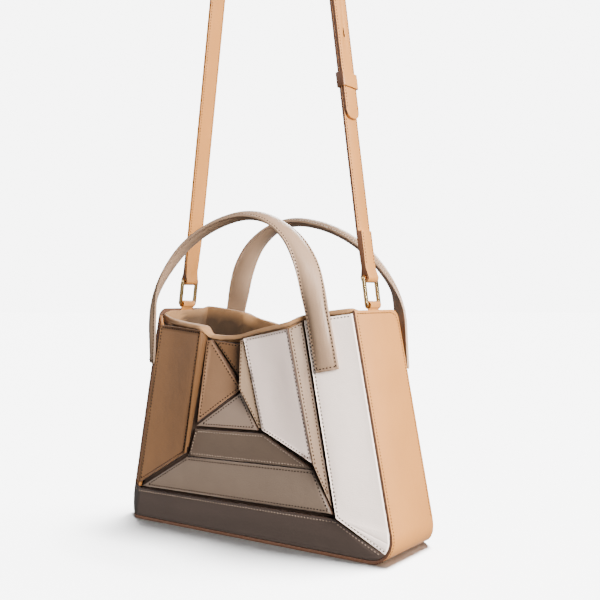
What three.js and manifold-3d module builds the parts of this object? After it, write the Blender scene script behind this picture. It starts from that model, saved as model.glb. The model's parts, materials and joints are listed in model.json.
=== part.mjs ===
// A small tote bag of leather panels that sit at different depths, like shallow steps, under two
// padded handles, hung from a long shoulder strap. Millimetres, +Z up, front towards -Y.
// The bag stands in a frame of its own, with its base at Z = 0 and its middle on the Z axis. The
// whole is then lowered so that the origin is where the strap hangs, under the top of its loop.
// The plan is a hexagon with two opposite corners cut off, and the back is the front turned half
// a turn about the vertical, so each front panel is made once and used twice.
import * as THREE from 'three';
import { mergeVertices } from 'three/addons/utils/BufferGeometryUtils.js';
import Module from 'manifold-3d';

// Driving dimensions of the body
const baseWidth = 295;
const topWidth = 220;
const bodyDepth = 82;
const bodyHeight = 193;
const cornerAcross = 20;
const cornerBack = 14.5;
const baseCornerRadius = 20;
const gussetTopRadius = 8;
const reliefDepth = 10;

// Leather, seams and clearances
const gussetWall = 2.2;
const panelThickness = 2.5;
const liningThickness = 2.2;
const seamGap = 1.2;
const clearance = 0.4;
// How far a cutter runs past the surface that it cuts.
const cutOver = 3;
const liningSetback = 3.3;
const lipGap = 0.7;
const lipOverhang = 1;
const lipBevel = 0.1;

// Handles
const handleWidth = 20;
const handleThickness = 8;
const handleFlange = 2;
const handleRise = 79;
const handleLean = 2;
const handleSteps = 44;
// The crown's height at the very ends and its growth per step, as shares, and the steps over which
// the inner face stays flat and then rises.
const crownStart = 0.35;
const crownGrowth = 0.22;
const innerCrownSteps = 6;

// Strap and its metal
const strapWidth = 19;
const strapThickness = 2.2;
const archRadius = 38;
const archSteps = 28;
const strapDrop = 500;
const overlapTail = 131;
const overlapTop = 350;
// Where the long strap, which bends from the outer layer towards the arch, has left the overlap.
const layerJoin = overlapTop * 1.085;
const patchLength = 38;
const patchWidth = 15.6;
const patchStep = 0.5;
const tipRadius = 7.2;
const keeperHeight = 12;
const keeperWall = 1.4;
const keeperRadius = 1.6;
const keeperLevel = 157;
const slotLevel = 201;
const slotWidth = 2.6;
const slotLength = 8;
const slitShare = 0.35;
const studLevel = 305;
const studRadius = 1.6;
const studHeadRadius = 4;
const studHeadHeight = 1.8;
// The flat top and the straight rim of a stud's head, as shares of its radius and height.
const studFlat = 0.8;
const studRim = 0.6;
const ringWidth = 22;
const ringBar = 2.8;
const ringDepth = 2.4;
const ringHeight = 25;
const ringCornerRadius = 2.5;
const tabWidth = 15.5;
const tabWall = 1.2;
const tabLength = 24;
const tabGap = 0.3;
const ringLift = 3.9;
const ringInset = 3.5;

const halfBase = baseWidth / 2;
const halfDepth = bodyDepth / 2;
const sideSlope = (baseWidth - topWidth) / 2 / bodyHeight;
const sideAngle = Math.atan(sideSlope);

const leather = (name, color, roughness = 0.55) => {
  const material = new THREE.MeshStandardMaterial({ color, roughness, metalness: 0 });
  material.name = name;
  return material;
};

const materials = {
  tan: leather('tan leather', 0xdcb695),
  white: leather('white leather', 0xe3dcd6),
  pearl: leather('pearl leather', 0xd0c6c2),
  brown: leather('brown leather', 0x8a6a4c),
  caramel: leather('caramel leather', 0xa87350),
  camel: leather('camel leather', 0xa5825f),
  sand: leather('sand leather', 0xc5b398),
  taupe: leather('taupe leather', 0x9a8978),
  darkTaupe: leather('dark taupe leather', 0x6a5b50),
  handle: leather('handle leather', 0xa08d7c),
  suede: leather('suede lining', 0x9c7c5c, 0.95),
  gold: new THREE.MeshStandardMaterial({ color: 0xe8cf9a, roughness: 0.2, metalness: 1 }),
};

const wasm = await Module();
wasm.setup();

// A closed solid from its corners and triangles, turned so that its faces point outwards.
function closedSolid(corners, triangles) {
  let volume = 0;
  for (const [a, b, c] of triangles) {
    volume += corners[a].dot(new THREE.Vector3().crossVectors(corners[b], corners[c]));
  }
  const index = triangles.flatMap(([a, b, c]) => (volume > 0 ? [a, b, c] : [a, c, b]));
  const geometry = new THREE.BufferGeometry();
  geometry.setAttribute('position', new THREE.Float32BufferAttribute(corners.flatMap((p) => p.toArray()), 3));
  geometry.setIndex(index);
  return geometry;
}

function toManifold(geometry) {
  const bare = geometry.clone();
  bare.deleteAttribute('normal');
  bare.deleteAttribute('uv');
  const merged = mergeVertices(bare, 1e-4);
  const triVerts = [];
  for (let i = 0; i < merged.index.count; i += 3) {
    const [a, b, c] = merged.index.array.slice(i, i + 3);
    if (a !== b && b !== c && c !== a) {
      triVerts.push(a, b, c);
    }
  }
  return new wasm.Manifold(new wasm.Mesh({
    numProp: 3,
    vertProperties: new Float32Array(merged.attributes.position.array),
    triVerts: new Uint32Array(triVerts),
  }));
}

function cut(geometry, ...cutters) {
  let solid = toManifold(geometry);
  for (const cutter of cutters) {
    solid = solid.subtract(toManifold(cutter));
  }
  const mesh = solid.getMesh();
  const result = new THREE.BufferGeometry();
  result.setAttribute('position', new THREE.Float32BufferAttribute(mesh.vertProperties, 3));
  result.setIndex(Array.from(mesh.triVerts));
  return result;
}

// Half the width of the body at a height.
const halfWidth = (z) => halfBase - sideSlope * z;

// How much farther apart two slanted side faces are across X than square to their own surface.
const slantFactor = Math.hypot(1, sideSlope);

const arcCentre = halfWidth(baseCornerRadius) - baseCornerRadius * slantFactor;

// The same inside the gusset wall by an inset, with the lower corner round.
function outlineX(z, inset) {
  const radius = baseCornerRadius - inset;
  const drop = baseCornerRadius - z;
  if (drop > -radius * Math.sin(sideAngle)) {
    return arcCentre + Math.sqrt(Math.max(0, radius * radius - drop * drop));
  }
  return halfWidth(z) - inset * slantFactor;
}

// The rounded lower right corner of the outline, from the base up to the slanted side.
function cornerArc(inset, from = -90, steps = 6) {
  const radius = baseCornerRadius - inset;
  const to = THREE.MathUtils.radToDeg(sideAngle);
  return Array.from({ length: steps + 1 }, (_, i) => {
    const angle = THREE.MathUtils.degToRad(from + ((to - from) * i) / steps);
    return [arcCentre + radius * Math.cos(angle), baseCornerRadius + radius * Math.sin(angle)];
  });
}

// How far a point of the outline lies past the crease of a cut-off corner, and the rounded corner
// split where that crease meets it.
const pastCrease = ([x, z]) => Math.max(0, x - (halfWidth(z) - cornerAcross));

function splitArc(inset) {
  const arc = cornerArc(inset);
  const beyond = ([x, z]) => x - (halfWidth(z) - cornerAcross);
  const next = arc.findIndex((point) => beyond(point) > 0);
  const [a, b] = [arc[next - 1], arc[next]];
  const share = beyond(a) / (beyond(a) - beyond(b));
  const crossing = [THREE.MathUtils.lerp(a[0], b[0], share), THREE.MathUtils.lerp(a[1], b[1], share)];
  return { below: arc.slice(0, next), crossing, above: arc.slice(next) };
}

// A point of a front panel: x as a share of half the base width, z as a share of the height and
// relief as a share of the relief depth, forward of the front plane.
const at = (x, z, relief = 0) => [x * halfBase, z * bodyHeight, relief * reliefDepth];
// A point on the crease where the cut-off corner meets the front, and one inside the right edge.
const onCrease = (z, relief = 0) => [cornerAcross - halfWidth(z * bodyHeight), z * bodyHeight, relief * reliefDepth];
const onEdge = (z, relief = 0) => [outlineX(z * bodyHeight, gussetWall), z * bodyHeight, relief * reliefDepth];

// The least share of the way along a corner's bisector that counts, so that a sharp tip isn't cut
// back too far.
const sharpestCorner = 0.35;

// Moves every edge of an outline inwards, so that two neighbours leave a seam between them.
function inset(outline, amount) {
  const count = outline.length;
  let area = 0;
  outline.forEach(([x, z], i) => {
    const [nextX, nextZ] = outline[(i + 1) % count];
    area += x * nextZ - nextX * z;
  });
  const side = Math.sign(area);
  return outline.map(([x, z, relief], i) => {
    const before = outline[(i + count - 1) % count];
    const after = outline[(i + 1) % count];
    const a = new THREE.Vector2(x - before[0], z - before[1]).normalize();
    const b = new THREE.Vector2(after[0] - x, after[1] - z).normalize();
    const inward = new THREE.Vector2(-(a.y + b.y), a.x + b.x).multiplyScalar(side);
    const reach = amount / Math.max(sharpestCorner, inward.length() / 2);
    inward.normalize().multiplyScalar(reach);
    return [x + inward.x, z + inward.y, relief];
  });
}

// A leather sheet: an outline of [x, z, relief] points, and the same pushed back by its thickness.
// An outline that folds over a crease is given as several faces of point numbers.
function sheet(outline, { thickness = panelThickness, push, faces } = {}) {
  const trimmed = inset(outline, seamGap / 2);
  const back = push ?? new THREE.Vector3(0, thickness, 0);
  const front = trimmed.map(([x, z, relief]) => new THREE.Vector3(x, -halfDepth - relief, z));
  const rear = front.map((p) => p.clone().add(back));
  const count = front.length;
  const parts = faces ?? [front.map((_, i) => i)];
  const triangles = [];
  for (const part of parts) {
    const flat = part.map((i) => new THREE.Vector2(trimmed[i][0], trimmed[i][1]));
    for (const [a, b, c] of THREE.ShapeUtils.triangulateShape(flat, [])) {
      triangles.push([part[a], part[b], part[c]]);
      triangles.push([part[a] + count, part[c] + count, part[b] + count]);
    }
  }
  for (let i = 0; i < count; i += 1) {
    const next = (i + 1) % count;
    triangles.push([i, next, next + count], [i, next + count, i + count]);
  }
  return orient(front.concat(rear), triangles);
}

// Triangulation may list a face either way round, so every triangle is turned to agree with the
// ones that it shares an edge with before the solid is closed.
function orient(corners, triangles) {
  const edges = new Map();
  triangles.forEach((triangle, t) => {
    for (let i = 0; i < 3; i += 1) {
      const [a, b] = [triangle[i], triangle[(i + 1) % 3]];
      const key = a < b ? `${a}_${b}` : `${b}_${a}`;
      edges.set(key, [...(edges.get(key) ?? []), t]);
    }
  });
  const runs = (triangle, a, b) => [0, 1, 2].some((i) => triangle[i] === a && triangle[(i + 1) % 3] === b);
  const done = new Set([0]);
  const queue = [0];
  while (queue.length) {
    const t = queue.pop();
    for (let i = 0; i < 3; i += 1) {
      const [a, b] = [triangles[t][i], triangles[t][(i + 1) % 3]];
      for (const other of edges.get(a < b ? `${a}_${b}` : `${b}_${a}`)) {
        if (!done.has(other)) {
          if (runs(triangles[other], a, b)) {
            triangles[other].reverse();
          }
          done.add(other);
          queue.push(other);
        }
      }
    }
  }
  return closedSolid(corners, triangles);
}

// The front panels, each an outline in order round its edge. Shares were chosen by hand.
const tallPanel = [onCrease(0.925, 0.1), at(-0.261, 0.904, 1), at(-0.417, 0.345, 0.5), onCrease(0.172, 0.1)];
const kitePanel = [at(-0.266, 0.86, 0.1), at(-0.23, 0.862, 0.1), at(-0.04, 0.65, -0.5), at(-0.338, 0.487, 0.2)];
const smallTriangle = [at(-0.217, 0.862, 0), at(-0.017, 0.842, -0.65), at(-0.017, 0.662, -0.65)];
const innerStrip = [at(-0.004, 0.866, 0.3), at(0.026, 0.876, 0.25), at(0.151, 0.49, 0.25),
  at(0.128, 0.492, 0.3), at(-0.016, 0.656, 0.3)];
const innerWhite = [at(0.028, 0.877, 0.4), at(0.361, 0.925, 1), at(0.519, 0.373, 0.8), at(0.16, 0.484, 0.4)];
const outerStrip = [at(0.362, 0.922, 0.9), at(0.42, 0.954, 0.1), at(0.624, 0.194, 0.4), at(0.522, 0.363, 0.8)];
const outerWhite = [at(0.444, 0.959, 0.5), onEdge(0.99, 0)]
  .concat(cornerArc(gussetWall, -40, 5).reverse().map(([x, z]) => [x, z, 0]))
  .concat([at(0.654, 0.166, 0.65)]);
const stepTriangle = [at(-0.342, 0.472, 0.25), at(-0.042, 0.632, -0.5), at(0.126, 0.484, 0.4)];
const riser = [at(-0.358, 0.455, 0.1), at(0.15, 0.467, 0.1), at(0.493, 0.344, 0.15), at(-0.417, 0.332, 0)];
const tread = [at(-0.423, 0.323, 0.1), at(0.493, 0.339, 0.1), at(0.627, 0.181, 0.6), at(-0.768, 0.165, 0.5)];

// The fold wall closes the step from the raised edge of the tall panel back to the kite panel. Its
// four corners keep back from the ends of that edge by these lengths.
const foldTop = { front: 1, back: 4 };
const foldFoot = { front: 6, back: 4, step: 1 };

function foldWall() {
  const [, top, bottom] = tallPanel;
  const edge = seamGap / 2;
  const near = top[2] - panelThickness - clearance;
  const nearLow = bottom[2] - panelThickness - clearance;
  const far = kitePanel[0][2] - panelThickness;
  const corner = (point, drop, relief) => new THREE.Vector3(point[0] - edge, -halfDepth - relief, point[1] - drop);
  const outer = [
    corner(top, edge + foldTop.front, near),
    corner(top, edge + foldTop.back, far),
    corner(bottom, -foldFoot.back, far),
    corner(bottom, -foldFoot.front, Math.max(nearLow, far + foldFoot.step)),
  ];
  const inner = outer.map((p) => p.clone().add(new THREE.Vector3(-panelThickness, 0, 0)));
  const sides = [0, 1, 2, 3].flatMap((i) => {
    const next = (i + 1) % 4;
    return [[i, next, next + 4], [i, next + 4, i + 4]];
  });
  return orient(outer.concat(inner), [[0, 1, 2], [0, 2, 3], [4, 6, 5], [4, 7, 6], ...sides]);
}

// The bottom band wraps over the crease on to the cut-off corner and rounds both lower corners.
function bottomBand() {
  const top = 0.146;
  const { below, crossing, above } = splitArc(gussetWall);
  const side = [outlineX(top * bodyHeight, gussetWall), top * bodyHeight];
  const onFront = ([x, z]) => [-x, z, 0];
  const onCorner = ([x, z]) => [-x, z, (-pastCrease([x, z]) * cornerBack) / cornerAcross];
  const rightArc = cornerArc(gussetWall).slice(0, 4);
  const outline = [
    at(0.633, 0.157, 0.2),
    onCrease(top, 0),
    ...[side, ...above.reverse()].map(onCorner),
    ...[crossing, ...below.reverse()].map(onFront),
    ...rightArc.map(([x, z]) => [x, z, 0]),
  ];
  const crease = above.length + 3;
  const order = outline.map((_, i) => i);
  return sheet(outline, { faces: [order.slice(1, crease + 1), [0, 1, ...order.slice(crease)]] });
}

// The cut-off corner, a flat slanted panel between the crease and the gusset.
function cornerPanel() {
  const along = (share, z) => {
    const x = -halfWidth(z * bodyHeight) + share * cornerAcross;
    return [x, z * bodyHeight, (share - 1) * cornerBack];
  };
  const push = new THREE.Vector3(cornerBack, cornerAcross, 0).setLength(panelThickness);
  return sheet([along(0.13, 0.972), along(0.98, 0.925), along(0.98, 0.15), along(0.13, 0.15)], { push });
}

// The thickness of the panels that a stiffener backs, so that they reach the lining.
const backed = { kite: 3.3, triangle: 3.15, innerStrip: 3.5, outerStrip: 3.4, tread: 4 };

const panels = [
  ['tall_panel', sheet(tallPanel), materials.brown],
  ['fold_wall', foldWall(), materials.caramel],
  ['kite_panel', sheet(kitePanel, { thickness: backed.kite }), materials.camel],
  ['small_triangle', sheet(smallTriangle, { thickness: backed.triangle }), materials.brown],
  ['inner_strip', sheet(innerStrip, { thickness: backed.innerStrip }), materials.sand],
  ['inner_white', sheet(innerWhite), materials.pearl],
  ['outer_strip', sheet(outerStrip, { thickness: backed.outerStrip }), materials.sand],
  ['outer_white', sheet(outerWhite), materials.white],
  ['step_triangle', sheet(stepTriangle), materials.taupe],
  ['riser', sheet(riser), materials.darkTaupe],
  ['tread', sheet(tread, { thickness: backed.tread }), materials.taupe],
  ['bottom_band', bottomBand(), materials.darkTaupe],
  ['corner_panel', cornerPanel(), materials.caramel],
];

// The tan gusset and base: one wall that runs down the right side, round under the base and up
// the left. Its front and back edges follow the plan, so that each is cut back at one corner.
function gussetBand() {
  const half = (inset) => {
    const { below, crossing, above } = splitArc(inset);
    return [[outlineX(bodyHeight, inset), bodyHeight], ...above.reverse(), crossing, ...below.reverse()];
  };
  const path = (inset) => [...half(inset), ...half(inset).reverse().map(([x, z]) => [-x, z])];
  const outerPath = path(0);
  const innerPath = path(gussetWall);
  const setBack = (x, z) => halfDepth - (pastCrease([x, z]) * cornerBack) / cornerAcross;
  const corners = outerPath.flatMap(([x, z], i) => {
    const [innerX, innerZ] = innerPath[i];
    return [
      new THREE.Vector3(x, -setBack(-x, z), z),
      new THREE.Vector3(x, setBack(x, z), z),
      new THREE.Vector3(innerX, setBack(x, z), innerZ),
      new THREE.Vector3(innerX, -setBack(-x, z), innerZ),
    ];
  });
  const triangles = ringWalls(outerPath.length, 4);
  const end = (outerPath.length - 1) * 4;
  triangles.push([0, 2, 1], [0, 3, 2], [end, end + 1, end + 2], [end, end + 2, end + 3]);
  const band = orient(corners, triangles);
  return cut(band, topCornerCutter(false), topCornerCutter(true));
}

// Walls between successive rings of the same number of corners.
function ringWalls(rings, size, closed = false) {
  const triangles = [];
  const last = closed ? rings : rings - 1;
  for (let ring = 0; ring < last; ring += 1) {
    for (let i = 0; i < size; i += 1) {
      const a = ring * size + i;
      const b = ring * size + ((i + 1) % size);
      const c = ((ring + 1) % rings) * size + ((i + 1) % size);
      const d = ((ring + 1) % rings) * size + i;
      triangles.push([a, b, c], [a, c, d]);
    }
  }
  return triangles;
}

// What is taken off the top corner of a gusset to round it, where it meets the cut-off corner.
function topCornerCutter(turned) {
  const edge = halfDepth - cornerBack;
  const shape = new THREE.Shape();
  shape.moveTo(edge - gussetTopRadius, bodyHeight);
  shape.absarc(edge - gussetTopRadius, bodyHeight - gussetTopRadius, gussetTopRadius, Math.PI / 2, 0, true);
  shape.lineTo(edge + cutOver, bodyHeight - gussetTopRadius);
  shape.lineTo(edge + cutOver, bodyHeight + cutOver);
  shape.lineTo(edge - gussetTopRadius, bodyHeight + cutOver);
  const reach = gussetWall * 4;
  const cutter = new THREE.ExtrudeGeometry(shape, { depth: reach * 2, bevelEnabled: false, curveSegments: 4 });
  cutter.applyMatrix4(new THREE.Matrix4().makeBasis(
    new THREE.Vector3(0, 1, 0), new THREE.Vector3(0, 0, 1), new THREE.Vector3(1, 0, 0)));
  cutter.translate(topWidth / 2 - reach, 0, 0);
  return turned ? cutter.rotateZ(Math.PI) : cutter;
}

// The lip of the lining along the front: where the tops of the panels lie, their relief, and how
// far the lining's wall stands behind the front plane there and at the middle of the height.
const lipStations = [
  { x: -0.45, low: -0.6, top: 0.915, relief: 0.5, wall: -0.4 },
  { x: -0.32, low: -0.5, top: 0.907, relief: 0.8, wall: -0.1 },
  { x: -0.275, low: -0.42, top: 0.9, relief: 0.85, wall: -0.28 },
  { x: -0.245, low: -0.36, top: 0.864, relief: 0.1, wall: -0.3 },
  { x: -0.15, low: -0.2, top: 0.857, relief: -0.2, wall: -0.6 },
  { x: -0.014, low: -0.02, top: 0.866, relief: 0, wall: -1.02 },
  { x: 0.07, low: 0.11, top: 0.886, relief: 0.45, wall: -0.3 },
  { x: 0.35, low: 0.45, top: 0.926, relief: 0.9, wall: 0.5 },
  { x: 0.415, low: 0.56, top: 0.955, relief: 0.35, wall: -0.3 },
  { x: 0.6, low: 0.75, top: 0.976, relief: 0.3, wall: -0.3 },
];
// Shares of the body height: the lip's own height, the lining's top at the sides, over the cut-off
// corner, over its crease and at the right edge, and the levels of its rings. Its wall stands clear
// of the panels on the lower levels and follows their backs on the upper ones.
const lipHeight = 0.02;
const sideTop = 0.966;
const cornerTop = 0.95;
const creaseTop = 0.932;
const edgeTop = 0.986;
const clearLevels = [0.031, 0.062, 0.124, 0.47];
const followLevels = [0.6, 0.84];

// One half of the ring of lining stations at a height share: the cut-off corner, the front and
// the right gusset. The other half is the same turned about the vertical.
function liningRing(level, inside) {
  const z = level.z;
  const shift = inside ? liningThickness : 0;
  const rise = Math.min(1, z / bodyHeight);
  const points = [];
  const push = (x, y, height, besideTab = 0) => {
    const sideX = outlineX(height, gussetWall + clearance + shift + besideTab);
    points.push(new THREE.Vector3(THREE.MathUtils.clamp(x, -sideX, sideX), y, height));
  };
  const creaseX = cornerAcross - halfWidth(z) + cornerBack / 4;
  const frontY = -halfDepth + liningSetback;
  const height = (share) => (level.lip === undefined ? z : share * bodyHeight + level.lip);
  push(-halfBase, -halfDepth + cornerBack + liningSetback + shift / 2, height(cornerTop));
  push(creaseX + shift / 2, frontY + shift, height(creaseTop));
  for (const station of lipStations) {
    const x = THREE.MathUtils.lerp(station.low, station.x, rise) * halfBase;
    const wall = level.follow * station.wall * reliefDepth + (1 - level.follow) * -liningSetback;
    const relief = level.over ? Math.max(wall, station.relief * reliefDepth - level.over) : wall;
    push(x, -halfDepth - relief + shift, height(station.top));
  }
  push(halfBase, frontY + shift, height(edgeTop));
  const tabRoom = rise * (tabWall + tabGap * 2);
  push(halfBase, -halfDepth / 2, height(sideTop), tabRoom);
  push(halfBase, halfDepth - cornerBack - gussetTopRadius, height(sideTop), tabRoom);
  const turned = points.map((p) => new THREE.Vector3(-p.x, -p.y, p.z));
  return points.concat(turned);
}

// The lining: a cup whose wall follows the backs of the panels and whose lip lies over their tops.
function lining() {
  const base = gussetWall + clearance;
  const lip = lipHeight * bodyHeight;
  const wall = [
    ...clearLevels.map((share) => ({ z: share * bodyHeight, follow: 0 })),
    ...followLevels.map((share) => ({ z: share * bodyHeight, follow: 1 })),
    { z: bodyHeight, follow: 1, lip: -lipOverhang },
  ];
  const levels = [
    { z: base, follow: 0 },
    ...wall,
    { z: bodyHeight, follow: 1, lip: lipGap },
    { z: bodyHeight, follow: 1, lip: lipGap + lipBevel, over: lipOverhang },
    { z: bodyHeight, follow: 1, lip: lip + lipGap, over: lipOverhang },
  ];
  const outside = levels.map((level) => liningRing(level, false));
  const insideLevels = [
    { z: base + liningThickness, follow: 0 },
    ...wall.slice(1),
    { z: bodyHeight, follow: 1, lip: lip + lipGap },
  ];
  const inside = insideLevels.map((level) => liningRing(level, true)).reverse();
  const rings = outside.concat(inside);
  const size = rings[0].length;
  const corners = rings.flat();
  const triangles = ringWalls(rings.length, size);
  const first = corners.push(new THREE.Vector3(0, 0, base)) - 1;
  const last = corners.push(new THREE.Vector3(0, 0, base + liningThickness)) - 1;
  const lastRing = (rings.length - 1) * size;
  for (let i = 0; i < size; i += 1) {
    const next = (i + 1) % size;
    triangles.push([first, next, i], [last, lastRing + i, lastRing + next]);
  }
  return orient(corners, triangles);
}

// The route of a front handle's middle line, from the foot on the cut-off corner over the crown to
// the foot on the outer white panel. x is a share of half the base width, rise a share of the
// handle's height over the rim (negative below it), lean how far forward of the handle's plane as
// a share of its width, and turn how far the band has turned from facing outwards to facing front.
const handleRoute = [
  { x: -0.7525, rise: -0.63, lean: -0.19, turn: 54 },
  { x: -0.741, rise: -0.35, lean: -0.16, turn: 54 },
  { x: -0.722, rise: -0.05, lean: -0.06, turn: 54 },
  { x: -0.68, rise: 0.18, lean: 0, turn: 38 },
  { x: -0.617, rise: 0.38, lean: 0, turn: 24 },
  { x: -0.514, rise: 0.6, lean: 0, turn: 14 },
  { x: -0.422, rise: 0.735, lean: 0, turn: 9 },
  { x: -0.294, rise: 0.862, lean: 0, turn: 5 },
  { x: -0.15, rise: 0.955, lean: 0, turn: 3 },
  { x: 0.008, rise: 1, lean: 0, turn: 3 },
  { x: 0.155, rise: 0.96, lean: 0, turn: 5 },
  { x: 0.265, rise: 0.855, lean: 0.02, turn: 9 },
  { x: 0.345, rise: 0.73, lean: 0.05, turn: 16 },
  { x: 0.4, rise: 0.6, lean: 0.1, turn: 26 },
  { x: 0.455, rise: 0.42, lean: 0.18, turn: 42 },
  { x: 0.497, rise: 0.2, lean: 0.28, turn: 64 },
  { x: 0.53, rise: 0, lean: 0.36, turn: 82 },
  { x: 0.567, rise: -0.3, lean: 0.37, turn: 83 },
  { x: 0.6, rise: -0.6, lean: 0.37, turn: 83 },
];

// Half of the band's section: across as a share of half its width, out as a share of half its
// thickness beyond the flange.
const handleSection = [
  { across: 1, out: 0 },
  { across: 0.78, out: 0.06 },
  { across: 0.6, out: 0.55 },
  { across: 0.32, out: 0.92 },
  { across: 0, out: 1 },
];

function handle() {
  const plane = -halfDepth + handleLean;
  const route = new THREE.CatmullRomCurve3(handleRoute.map(({ x, rise, lean }) => (
    new THREE.Vector3(x * halfBase, plane - lean * handleWidth, bodyHeight + rise * handleRise))));
  const turns = new THREE.CatmullRomCurve3(handleRoute.map(({ turn }, i) => new THREE.Vector3(i, turn, 0)));
  const half = handleFlange / 2;
  const crown = handleThickness / 2 - half;
  const rings = [];
  for (let step = 0; step <= handleSteps; step += 1) {
    const t = step / handleSteps;
    const middle = route.getPoint(t);
    const along = route.getTangent(t);
    const turn = THREE.MathUtils.degToRad(turns.getPoint(t).y);
    const outward = new THREE.Vector3().crossVectors(along, new THREE.Vector3(0, 1, 0)).normalize();
    const forward = new THREE.Vector3().crossVectors(outward, along).normalize();
    if (forward.y > 0) {
      forward.negate();
    }
    const face = outward.multiplyScalar(Math.cos(turn)).addScaledVector(forward, Math.sin(turn)).normalize();
    const across = new THREE.Vector3().crossVectors(face, along).normalize();
    const fromEnd = Math.min(step, handleSteps - step);
    const outer = crown * Math.min(1, crownStart + fromEnd * crownGrowth);
    const inner = crown * THREE.MathUtils.clamp(fromEnd / innerCrownSteps - 1, 0, 1);
    const place = (b, n) => middle.clone().addScaledVector(across, b).addScaledVector(face, n);
    const right = handleSection.map(({ across: b, out }) => [b, out]);
    const profile = [
      ...right.map(([b, out]) => [b, half + out * outer]),
      ...right.slice(0, -1).reverse().map(([b, out]) => [-b, half + out * outer]),
      ...right.map(([b, out]) => [-b, -half - out * inner]),
      ...right.slice(0, -1).reverse().map(([b, out]) => [b, -half - out * inner]),
    ];
    rings.push(profile.map(([b, n]) => place((b * handleWidth) / 2, n)));
  }
  const size = rings[0].length;
  const triangles = ringWalls(rings.length, size);
  const end = (rings.length - 1) * size;
  for (let i = 1; i < size - 1; i += 1) {
    triangles.push([0, i + 1, i], [end, end + i, end + i + 1]);
  }
  return orient(rings.flat(), triangles);
}

// The strap hangs in two straight runs that lean together and join in a round arch. The ring, its
// run and the arch lie on one line in the X-Z plane, which touches the arch's circle.
const ringPivot = new THREE.Vector2(topWidth / 2 - ringInset, bodyHeight + ringLift);
const barSpan = ringHeight - ringBar;
const hangHeight = ringPivot.y + barSpan + strapDrop;
const archMiddle = new THREE.Vector2(0, hangHeight - archRadius);

const run = (() => {
  const toMiddle = archMiddle.clone().sub(ringPivot);
  const spread = Math.asin(archRadius / toMiddle.length());
  const along = toMiddle.clone().normalize().rotateAround(new THREE.Vector2(), -spread);
  const out = new THREE.Vector2(along.y, -along.x);
  return { along, out, foot: ringPivot.clone().addScaledVector(along, barSpan) };
})();
const runUp = new THREE.Vector3(run.along.x, 0, run.along.y);
const runOut = new THREE.Vector3(run.out.x, 0, run.out.y);
const runTurn = Math.atan2(run.out.y, run.out.x);
const sideways = new THREE.Vector3(0, 1, 0);
// Turns a shape drawn flat to lie on the run's face, and a round piece to point out of it.
const ontoRunFace = new THREE.Matrix4().makeBasis(sideways, runUp, runOut);
const outOfRun = new THREE.Matrix4().makeBasis(sideways, runOut, runUp.clone().negate());
const mountY = -cornerBack / 2;
const shear = mountY / run.foot.x;

// A point of the right run: how far along it from the ring's upper bar, and how far outwards.
const runLine = (distance, out) => run.foot.clone().addScaledVector(run.along, distance).addScaledVector(run.out, out);

// Half of the arch from the end of a run to its top, on the side that the sign gives.
function archLine(radius, sign) {
  return Array.from({ length: archSteps + 1 }, (_, i) => {
    const angle = runTurn + ((Math.PI / 2 - runTurn) * i) / archSteps;
    return new THREE.Vector2(sign * radius * Math.cos(angle), archMiddle.y + radius * Math.sin(angle));
  });
}

// An outline in the X-Z plane as a band across Y, moved so that it passes over both rings.
function acrossY(points, width, holes = []) {
  const shape = new THREE.Shape(THREE.ShapeUtils.isClockWise(points) ? [...points].reverse() : points);
  for (const hole of holes) {
    const path = new THREE.Path();
    path.absarc(hole.x, hole.y, hole.radius, 0, Math.PI * 2, true);
    shape.holes.push(path);
  }
  const geometry = new THREE.ExtrudeGeometry(shape, { depth: width, bevelEnabled: false, curveSegments: 6 });
  geometry.translate(0, 0, -width / 2);
  geometry.rotateX(Math.PI / 2);
  return geometry;
}

const sheared = (geometry) => geometry.applyMatrix4(new THREE.Matrix4().makeShear(shear, 0, 0, 0, 0, 0));

const loopHole = Math.hypot(ringBar, ringDepth) / 2 + clearance;
const loopRadius = loopHole + strapThickness * 0.9;
const loopTurns = 8;
const drillReach = 20;
// The part of a circle round a bar that a strap's end and a tab's loop pass through, in degrees,
// and where the fold's two layers come together, in loop radii.
const strapLoop = { from: 35, to: -215, neck: 1.9 };
const tabLoop = { from: 255, to: -70 };

// A leather loop round a bar: points of a circle, each set down by a function of x and y.
const loopPoints = ({ from, to }, radius, place) => Array.from({ length: loopTurns + 1 }, (_, i) => {
  const angle = THREE.MathUtils.degToRad(THREE.MathUtils.lerp(from, to, i / loopTurns));
  return place(radius * Math.cos(angle), radius * Math.sin(angle));
});

// The end of a strap round a ring's bar, as points from the patch's top, round under the bar and
// up to the inner face of the run. Out is away from the middle of the bag.
function strapEnd() {
  const neck = loopRadius * strapLoop.neck;
  return [
    runLine(patchLength, strapThickness),
    runLine(neck, strapThickness),
    ...loopPoints(strapLoop, loopRadius, (out, up) => runLine(up, out)),
    runLine(neck, -strapThickness),
  ];
}

// Narrows a strap to its folded-back end, which has to pass through the ring.
function narrowed(geometry) {
  const { position } = geometry.attributes;
  const foot = new THREE.Vector2();
  for (let i = 0; i < position.count; i += 1) {
    foot.set(Math.abs(position.getX(i)), position.getZ(i)).sub(run.foot);
    const distance = foot.dot(run.along);
    if (distance < patchLength + patchStep / 2) {
      position.setY(i, (position.getY(i) * patchWidth) / strapWidth);
    }
  }
  return geometry;
}

function strapShort() {
  const hole = runLine(0, 0);
  const points = strapEnd();
  points.push(runLine(patchLength + patchStep, -strapThickness), runLine(overlapTop, -strapThickness),
    runLine(overlapTop, 0), runLine(patchLength + patchStep, 0), runLine(patchLength, 0));
  const strap = acrossY(points, strapWidth, [{ x: hole.x, y: hole.y, radius: loopHole }]);
  return sheared(cut(narrowed(strap), strapDrill(studLevel, studRadius + clearance)));
}

// A round drill across the strap at a distance along the right run.
function strapDrill(distance, radius) {
  const drill = new THREE.CylinderGeometry(radius, radius, drillReach, 10);
  drill.applyMatrix4(outOfRun);
  const place = runLine(distance, 0);
  return drill.translate(place.x, 0, place.y);
}

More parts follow.
